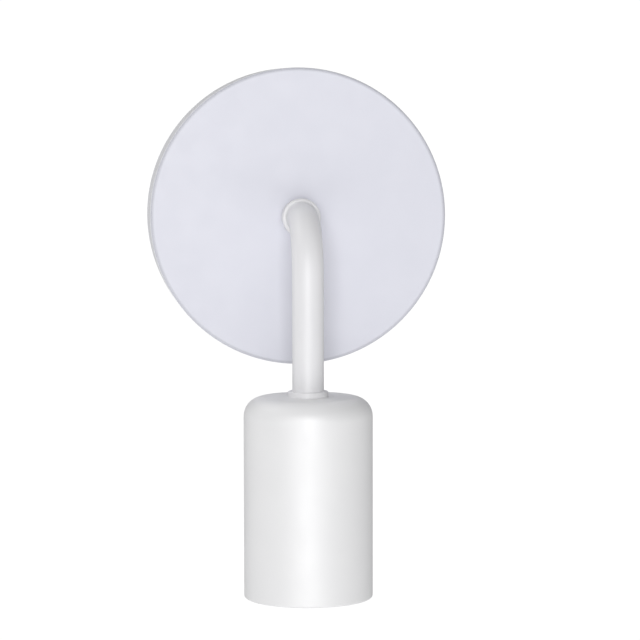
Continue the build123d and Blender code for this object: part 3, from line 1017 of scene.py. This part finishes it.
@dataclass
class Lampholder:
    """The porcelain holder in the cup, with its thread shell and its sprung contact."""

    top: float = -94.7
    mouth: float = -134.7
    radius: float = 21.5
    socket: float = 13.9
    floor: float = -103.7
    mouth_radius: float = 14.5
    mouth_step: float = -129.4
    guide_bore: float = 4.25
    guide_top: float = -96.7
    rivet_hole: float = 1.25
    rivet_circle: float = 9.2
    rivet_degrees: tuple[float, ...] = (90, 210, 330)
    screw_x: float = 18.0
    screw_hole: float = 1.7
    screw_channel: float = 2.8
    drill_past: float = 2.0
    drill_overlap: float = 1.0
    shell_radius: float = 12.8
    shell_sheet: float = 0.3
    shell_hole: float = 6.2
    thread_low: float = -127.4
    thread_high: float = -104.9
    thread_pitch: float = 3.629
    thread_rows: int = 84
    contact_tip: float = -107.9
    contact_seat: float = -103.6
    flange_top: float = -102.7
    spring_low: float = -102.455
    spring_high: float = -98.245
    spring_held: float = -98.0

    def porcelain(self) -> Piece:
        """Turns the body, then cuts its rivet holes and its screw channels.

        Returns:
            The body.
        """
        body = Piece.turned("holder_porcelain", [
            Corner(self.radius, self.mouth, 1.5),
            Corner(self.radius, self.top, 1.0),
            Corner(self.rivet_hole, self.top),
            Corner(self.rivet_hole, self.guide_top),
            Corner(self.guide_bore, self.guide_top),
            Corner(self.guide_bore, self.floor),
            Corner(self.socket, self.floor, 0.2),
            Corner(self.socket, self.mouth_step),
            Corner(self.mouth_radius, self.mouth_step),
            Corner(self.mouth_radius, self.mouth, 0.9),
        ], segments=128).stand_on(Stand.CUP)
        above, below = self.top + self.drill_past, self.mouth - self.drill_past
        for angle in map(math.radians, self.rivet_degrees):
            x = self.rivet_circle * math.cos(angle)
            y = CUP_AXIS_Y + self.rivet_circle * math.sin(angle)
            body.cut(Piece.cylinder("drill", self.rivet_hole, (x, y, self.floor - self.drill_past),
                                    (x, y, above), segments=24))
        for x in (-self.screw_x, self.screw_x):
            body.cut(
                Piece.cylinder("drill", self.screw_hole,
                               (x, CUP_AXIS_Y, self.floor - self.drill_overlap),
                               (x, CUP_AXIS_Y, above), segments=32),
                Piece.cylinder("drill", self.screw_channel, (x, CUP_AXIS_Y, below),
                               (x, CUP_AXIS_Y, self.floor), segments=40))
        return body.soften(0.22, 50.0).smooth(40.0)

    def thread_shell(self) -> Piece:
        """Turns a thin sheet with a base, and rolls the lamp's thread into its side.

        Returns:
            The shell.
        """
        skirt = 1.05
        shell = Piece.turned("holder_thread_shell", [
            Corner(self.shell_hole, self.floor),
            Corner(self.shell_radius, self.floor, 0.45),
            *rows(self.shell_radius, self.thread_high, self.thread_low, self.thread_rows),
            Corner(self.shell_radius, self.thread_low - skirt),
        ], segments=120, closed=False)
        shell.roll_thread(self.thread_low, self.thread_high, self.thread_pitch, swing=0.5,
                          run_out=1.2, inner=self.shell_radius - 1)
        shell.stand_on(Stand.CUP)
        shell.modify("SOLIDIFY", thickness=self.shell_sheet * MM, offset=0.0)
        return shell.smooth(50.0)

    def plunger(self) -> Piece:
        """Turns the sprung contact: a domed stem with a flange.

        Returns:
            The contact.
        """
        stem, flange = 2.5, 3.2
        return Piece.turned("holder_centre_contact", [
            Corner(0.0, self.contact_tip),
            Corner(stem, self.contact_tip, 1.7),
            Corner(stem, self.contact_seat),
            Corner(flange, self.contact_seat, 0.15),
            Corner(flange, self.flange_top, 0.15),
            Corner(0.0, self.flange_top),
        ], segments=64, closed=False).stand_on(Stand.CUP).smooth()

    def spring(self) -> Piece:
        """Winds a round wire up the axis and closes its ends.

        Returns:
            The spring.
        """
        wire, coil, turns = 0.225, 2.35, 3.5
        rise = (self.spring_high - self.spring_low) * MM
        steps = round(40 * turns)
        clear_bench()
        bpy.ops.mesh.primitive_circle_add(vertices=14, radius=wire * MM, fill_type="NGON",
                                          location=(coil * MM, 0, 0), rotation=(math.pi / 2, 0, 0))
        spring = Piece("holder_contact_spring", bpy.context.object)
        spring.modify("SCREW", axis="Z", angle=2 * math.pi * turns, screw_offset=rise,
                      steps=steps, render_steps=steps, iterations=1)
        spring.make_sound()
        spring.thing.location = Vector((0, CUP_AXIS_Y, self.spring_low)) * MM
        return spring.settle().smooth(50.0)

    def build(self, shop: PaintShop) -> None:
        """Builds the holder's pieces and dresses the rest.

        Args:
            shop: The paint shop that coats the pieces and places them.
        """
        shop.fit(self.porcelain(), Slot.PORCELAIN, "ceramic_body")
        shop.fit(self.thread_shell(), Slot.NICKEL, "screw_shell")
        shop.fit(self.plunger(), Slot.BRASS, "centre_contact", body=CONTACT_BODY)
        spring = shop.fit(self.spring(), Slot.SPRING_STEEL, "contact_spring")
        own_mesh(spring)
        shop.coat_nodes(Slot.ZINC_STEEL, "holder_bracket")
        shop.coat_nodes(Slot.SCREW_STEEL, "bracket_screws", "holder_terminal_screws")
        shop.coat_nodes(Slot.BRASS, "shell_rivets", "contact_guide", "contact_rivet",
                        "live_terminal", "neutral_terminal", "holder_earth_screw")
        shop.coat_nodes(Slot.TINNED_COPPER, "holder_earth_tag")


@dataclass
class Lead:
    """One insulated lead, laid through the arm from the canopy to the lampholder."""

    name: str
    node: str
    slot: Slot
    route: Sequence[Point]
    radius: float = 0.95

    def build(self, shop: PaintShop) -> None:
        """Draws the lead as a smooth curve and makes it a mesh.

        Args:
            shop: The paint shop that coats the pieces and places them.
        """
        clear_bench()
        bpy.ops.curve.primitive_nurbs_path_add()
        thing = bpy.context.object
        curve = thing.data
        curve.splines.clear()
        spline = curve.splines.new("NURBS")
        spline.points.add(len(self.route) - 1)
        for point, place in zip(spline.points, self.route):
            point.co = (*(Vector(place) * MM), 1.0)
        spline.order_u = 3
        spline.use_endpoint_u = True
        spline.resolution_u = 10
        curve.bevel_depth = self.radius * MM
        curve.bevel_resolution = 4
        curve.use_fill_caps = True
        bpy.ops.object.convert(target="MESH")
        piece = Piece(self.name, bpy.context.object)
        piece.make_sound().smooth(50.0)
        shop.fit(piece, self.slot, self.node)
        if self.slot is Slot.EARTH_INSULATION:
            self.stripe(piece, shop)

    def stripe(self, piece: Piece, shop: PaintShop) -> None:
        """Gives a third of the lead's sides, along its whole length, the second colour.

        Args:
            piece: The lead.
            shop: The paint shop that makes the second colour.
        """
        sides = 12
        piece.thing.data.materials.append(shop.material(EARTH_STRIPE))
        for index, face in enumerate(piece.thing.data.polygons):
            if index % sides < sides // 3:
                face.material_index = 1


@dataclass
class Wiring:
    """The three leads. Each turns with the arm's bend and ends in its two terminals."""

    leads: tuple[Lead, ...] = (
        Lead("lead_live", "live_lead", Slot.BROWN_INSULATION, (
            (5.2, -6.2, -30.0), (5.2, -6.2, -22.0), (5.2, -6.2, -12.0), (3.4, -6.7, -3.5),
            (0.0, -8.7, 1.9), (0.0, -16.0, 1.7), (0.0, -30.0, 1.7), (0.0, -47.1, 1.7),
            (0.0, -57.6, -4.4), (0.0, -63.7, -14.9), (0.0, -63.7, -40.0), (0.0, -63.7, -74.0),
            (0.0, -64.2, -80.5), (0.0, -75.6, -86.0), (0.0, -76.2, -93.0))),
        Lead("lead_neutral", "neutral_lead", Slot.BLUE_INSULATION, (
            (-5.2, -6.2, -30.0), (-5.2, -6.2, -22.0), (-5.2, -6.6, -13.0), (-3.4, -8.2, -6.5),
            (0.0, -11.0, -1.9), (0.0, -18.0, -1.7), (0.0, -30.0, -1.7), (0.0, -46.2, -1.7),
            (0.0, -55.1, -6.9), (0.0, -60.3, -15.8), (0.0, -60.3, -40.0), (0.0, -60.3, -74.0),
            (0.0, -59.8, -80.5), (0.0, -48.4, -86.0), (0.0, -47.8, -93.0))),
        Lead("lead_earth", "earth_lead", Slot.EARTH_INSULATION, (
            (0.0, -3.75, 17.2), (0.0, -3.75, 13.0), (-0.4, -4.0, 6.5), (-1.9, -6.2, 0.3),
            (-1.9, -14.0, 0.0), (-1.9, -30.0, 0.0), (-1.9, -46.6, 0.0), (-1.9, -56.4, -5.6),
            (-1.9, -62.0, -15.4), (-1.9, -62.0, -40.0), (-1.9, -62.0, -76.0),
            (-2.6, -62.0, -83.4), (-8.0, -62.0, -83.7), (-11.4, -62.0, -83.7))),
    )

    def build(self, shop: PaintShop) -> None:
        """Lays the leads."""
        for lead in self.leads:
            lead.build(shop)


# ---------------------------------------------------------------- the studio


@dataclass(frozen=True)
class SoftBox:
    """A soft square light that faces a point, in metres and watts."""

    name: str
    place: Point
    width: float
    power: float
    aim: Point = (0.0, -0.05, -0.06)

    def build(self) -> None:
        """Adds the light and turns it towards its aim."""
        clear_bench()
        turn = (Vector(self.aim) - Vector(self.place)).to_track_quat("-Z", "Y").to_euler()
        bpy.ops.object.light_add(type="AREA", location=self.place, rotation=turn)
        lamp = bpy.context.object
        lamp.name = self.name
        lamp.data.shape = "SQUARE"
        lamp.data.size = self.width
        lamp.data.energy = self.power


@dataclass
class Studio:
    """A camera, soft lights, a pale floor and a white surround, in metres."""

    camera_place: Point = (-0.1084, -1.1074, 0.0497)
    yaw: float = 0.1078
    pitch: float = 0.0842
    roll: float = 0.0015
    lens: float = 151.32
    sensor: float = 36.0
    surround: float = 0.32
    backdrop: float = 1.05
    floor_z: float = -1.35
    floor_radius: float = 4.5
    lights: tuple[SoftBox, ...] = (
        SoftBox("key_softbox", (-0.20, -1.55, 0.14), 0.6, 10.4),
        SoftBox("wide_softbox", (0.05, -1.30, -0.6), 1.2, 2.2),
        SoftBox("left_softbox", (-1.30, 0.50, 0.1), 0.7, 1.5),
        SoftBox("upper_left_softbox", (-0.95, 0.30, 1.15), 0.7, 4.5),
        SoftBox("top_softbox", (0.1, -0.2, 1.3), 0.7, 1.4),
    )

    def camera(self) -> None:
        """Stands the camera before the light and aims it by its yaw, pitch and roll."""
        level = math.cos(self.pitch)
        forward = Vector((math.sin(self.yaw) * level, math.cos(self.yaw) * level,
                          -math.sin(self.pitch)))
        right = Vector((math.cos(self.yaw), -math.sin(self.yaw), 0.0))
        up = right.cross(forward)
        sine, cosine = math.sin(self.roll), math.cos(self.roll)
        axes = Matrix((right * cosine - up * sine, right * sine + up * cosine,
                       -forward)).transposed()
        bpy.ops.object.camera_add(location=self.camera_place, rotation=axes.to_euler())
        camera = bpy.context.object
        camera.name = "studio_camera"
        camera.data.lens = self.lens
        camera.data.sensor_width = self.sensor
        bpy.context.scene.camera = camera

    def sky(self) -> None:
        """Shows the surround as plain white, and lights the object with a softer grey."""
        world = bpy.data.worlds.new("white_surround")
        world.use_nodes = True
        bpy.context.scene.world = world
        nodes, links = world.node_tree.nodes, world.node_tree.links
        soft = nodes["Background"]
        soft.inputs["Color"].default_value = (0.985, 0.99, 1.0, 1.0)
        soft.inputs["Strength"].default_value = self.surround
        plain = nodes.new("ShaderNodeBackground")
        plain.inputs["Color"].default_value = (1.0, 1.0, 1.0, 1.0)
        plain.inputs["Strength"].default_value = self.backdrop
        path = nodes.new("ShaderNodeLightPath")
        either = nodes.new("ShaderNodeMixShader")
        links.new(path.outputs["Is Camera Ray"], either.inputs["Fac"])
        links.new(soft.outputs["Background"], either.inputs[1])
        links.new(plain.outputs["Background"], either.inputs[2])
        links.new(either.outputs["Shader"], nodes["World Output"].inputs["Surface"])

    def floor(self) -> None:
        """Lays a round pale floor that fades into the white surround."""
        clear_bench()
        bpy.ops.mesh.primitive_circle_add(vertices=96, radius=self.floor_radius, fill_type="NGON",
                                          location=(0, 0, self.floor_z))
        ground = Piece("studio_floor", bpy.context.object).thing
        recipe = Recipe("studio_floor_white")
        distance = recipe.node("ShaderNodeVectorMath", operation="LENGTH")
        recipe.link(recipe.stretched((1.0, 1.0, 0.0)), distance.inputs[0])
        edge = recipe.spread(distance.outputs["Value"], (0.2, self.floor_radius), (0.25, 1.02))
        recipe.fix(Base_Color=(0.82, 0.82, 0.82, 1.0), Roughness=0.9,
                   Emission_Color=(1.0, 1.0, 1.0, 1.0))
        recipe.feed(Emission_Strength=edge)
        ground.data.materials.append(recipe.material)

    def build(self) -> None:
        """Sets the studio up."""
        bpy.context.scene.view_settings.view_transform = "Standard"
        self.camera()
        self.sky()
        self.floor()
        for light in self.lights:
            light.build()
        log.info("the studio has %d soft lights", len(self.lights))


def main() -> None:
    """Builds the light, part by part, and the studio."""
    logging.basicConfig(level=logging.INFO, format="%(message)s")
    shop = PaintShop()
    Studio().build()
    for part in (Canopy(), Arm(), Cup(), Lampholder(), Wiring()):
        part.build(shop)
        log.info("%s is done", type(part).__name__)
    clear_bench()


if __name__ == "__main__":
    main()
